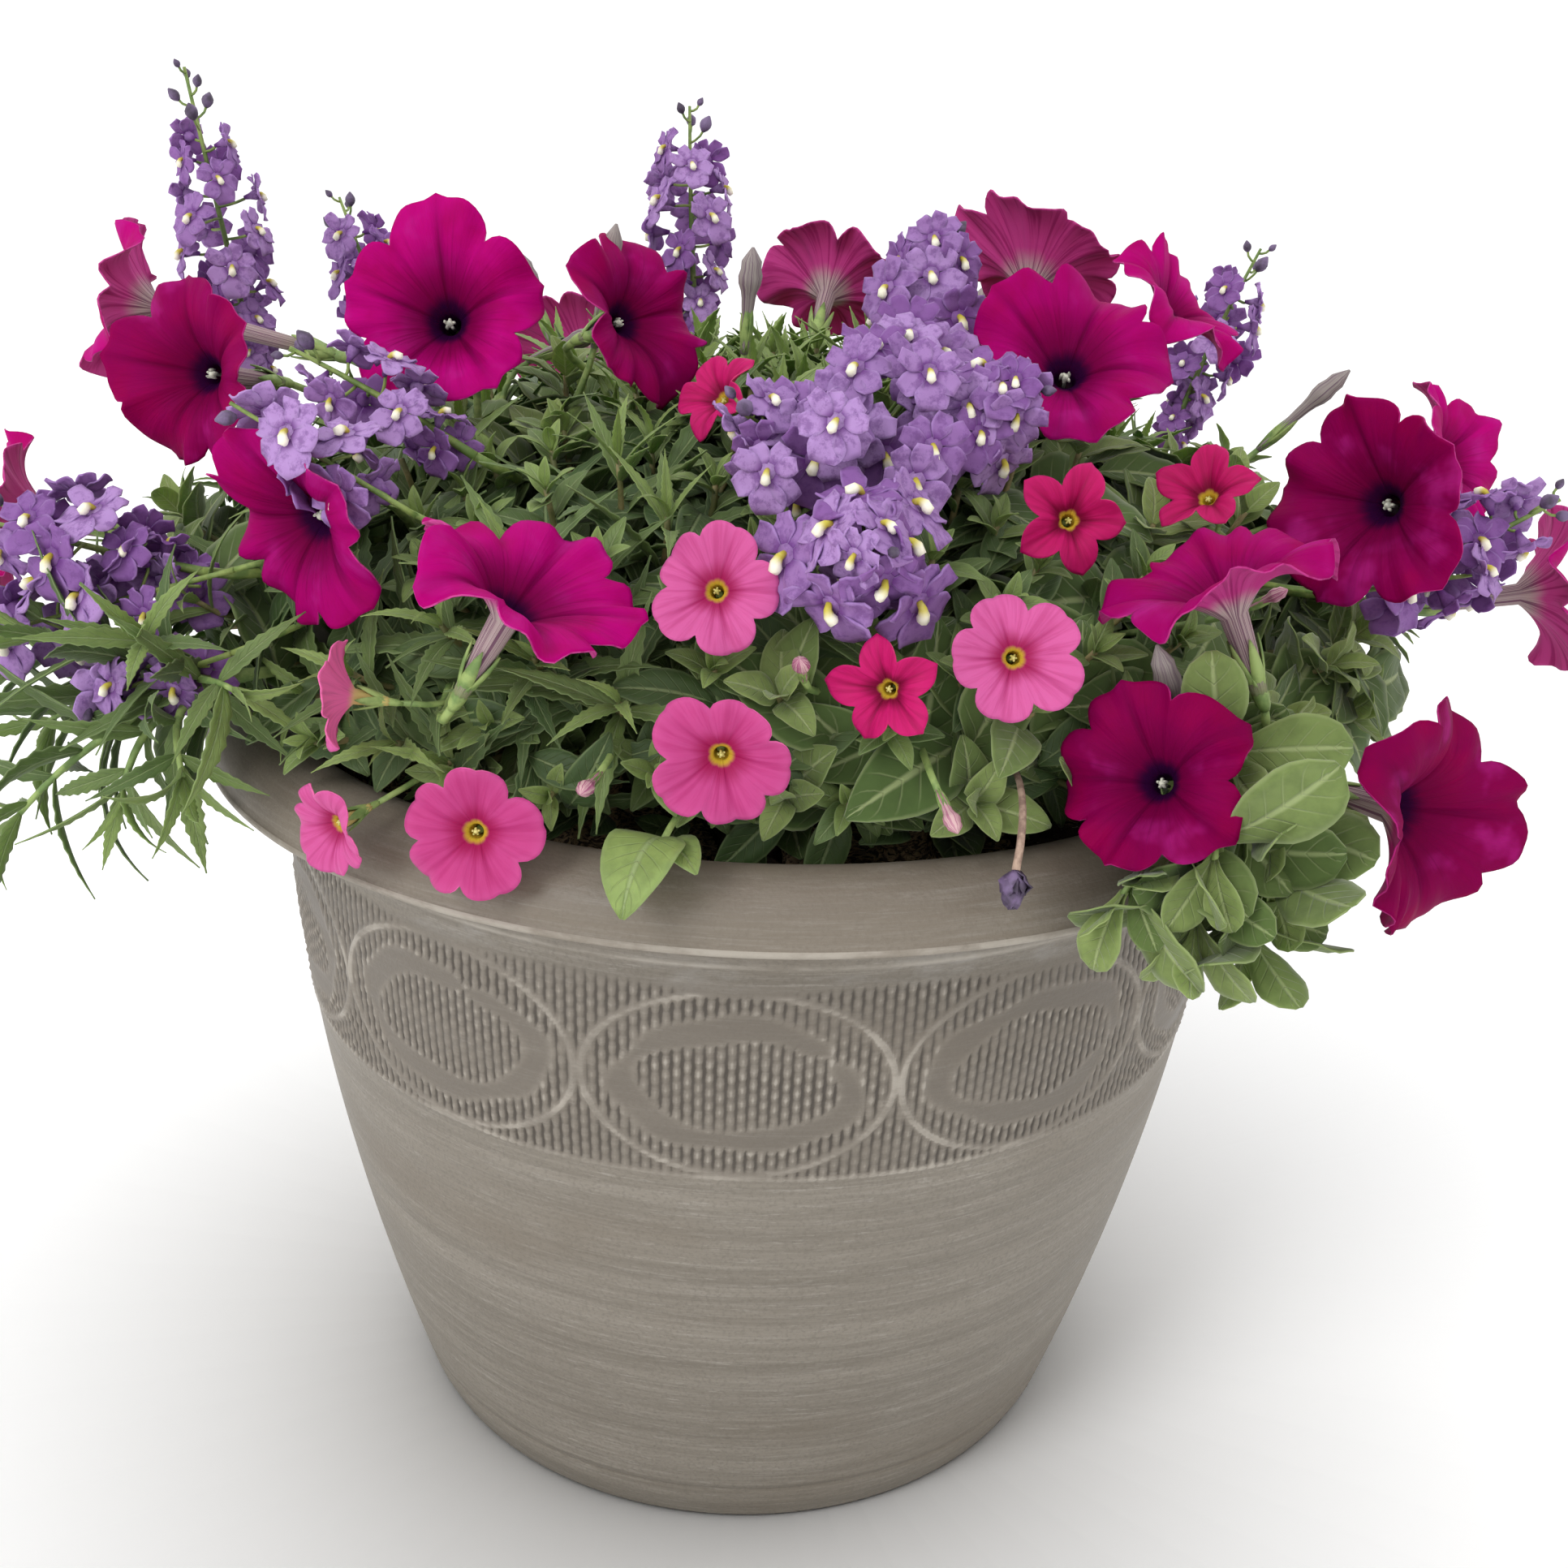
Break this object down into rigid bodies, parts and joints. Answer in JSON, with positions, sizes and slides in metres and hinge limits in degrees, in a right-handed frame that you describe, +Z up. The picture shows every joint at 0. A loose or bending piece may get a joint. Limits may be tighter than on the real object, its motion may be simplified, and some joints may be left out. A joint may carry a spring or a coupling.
{
  "type": "planted round planter",
  "caption": "Round tapered resin planter with a rolled rim and relief band, filled with potting mix and a mounded mix of trumpet flowers and flower spikes.",
  "frame": {"origin": "centre of the pot's underside, on the surface that it stands on", "axes": "+Z up along the pot's axis, -Y is the front that the picture shows, +X to the right, along the mound's longest way"},
  "size_m": [0.4696, 0.3353, 0.4028],
  "materials": {
    "pot_resin": "matt stone-look resin with brushed pale streaks and a softer sheen on the rim",
    "potting_mix": "crumbly, matt, dark",
    "root_ball": "fibrous, matt",
    "petunia_leaf": "soft, downy grey-green leaf",
    "fine_leaf": "satin green leaf",
    "petunia_petal": "velvety magenta petal with a dark throat and veins",
    "pink_petal": "soft pink petal with darker veins and a yellow throat",
    "rose_petal": "soft rose-red petal with a yellow throat",
    "lilac_petal": "soft lilac petal with a white and yellow lip"
  },
  "bodies": {
    "pot": {"pot_shell": "pot_resin"},
    "planting": {"angelonia_left_foliage": "fine_leaf", "angelonia_left_root_ball": "root_ball", "angelonia_left_shoot": "fine_leaf", "angelonia_left_spike_1": "lilac_petal", "angelonia_left_spike_2": "lilac_petal", "angelonia_left_spike_3": "lilac_petal", "angelonia_left_spike_4": "lilac_petal", "angelonia_right_foliage": "fine_leaf", "angelonia_right_root_ball": "root_ball", "angelonia_right_spike_1": "lilac_petal", "angelonia_right_spike_2": "lilac_petal", "angelonia_right_spike_3": "lilac_petal", "calibrachoa_pink_bloom_1": "pink_petal", "calibrachoa_pink_bloom_2": "pink_petal", "calibrachoa_pink_bloom_3": "pink_petal", "calibrachoa_pink_bloom_4": "pink_petal", "calibrachoa_pink_bloom_5": "pink_petal", "calibrachoa_pink_bloom_6": "pink_petal", "calibrachoa_pink_foliage": "fine_leaf", "calibrachoa_pink_root_ball": "root_ball", "calibrachoa_rose_bloom_1": "rose_petal", "calibrachoa_rose_bloom_2": "rose_petal", "calibrachoa_rose_bloom_3": "rose_petal", "calibrachoa_rose_bloom_4": "rose_petal", "calibrachoa_rose_foliage": "fine_leaf", "calibrachoa_rose_root_ball": "root_ball", "nemesia_foliage": "fine_leaf", "nemesia_root_ball": "root_ball", "nemesia_spike_1": "lilac_petal", "nemesia_spike_2": "lilac_petal", "nemesia_spike_3": "lilac_petal", "nemesia_spike_4": "lilac_petal", "petunia_back_bloom_1": "petunia_petal", "petunia_back_bloom_2": "petunia_petal", "petunia_back_bloom_3": "petunia_petal", "petunia_back_bloom_4": "petunia_petal", "petunia_back_bloom_5": "petunia_petal", "petunia_back_bloom_6": "petunia_petal", "petunia_back_bloom_7": "petunia_petal", "petunia_back_foliage": "petunia_leaf", "petunia_back_root_ball": "root_ball", "petunia_left_bloom_1": "petunia_petal", "petunia_left_bloom_2": "petunia_petal", "petunia_left_bloom_3": "petunia_petal", "petunia_left_bloom_4": "petunia_petal", "petunia_left_bloom_5": "petunia_petal", "petunia_left_bloom_6": "petunia_petal", "petunia_left_foliage": "petunia_leaf", "petunia_left_root_ball": "root_ball", "petunia_right_bloom_1": "petunia_petal", "petunia_right_bloom_2": "petunia_petal", "petunia_right_bloom_3": "petunia_petal", "petunia_right_bloom_4": "petunia_petal", "petunia_right_bloom_5": "petunia_petal", "petunia_right_bloom_6": "petunia_petal", "petunia_right_foliage": "petunia_leaf", "petunia_right_root_ball": "root_ball", "petunia_right_shoot": "petunia_leaf", "potting_mix": "potting_mix"}
  },
  "joints": [
    {"name": "planting_lift", "type": "slide", "parent": "pot", "child": "planting", "axis": [0, 0, 1], "range_m": [0, 0.25]}
  ]
}
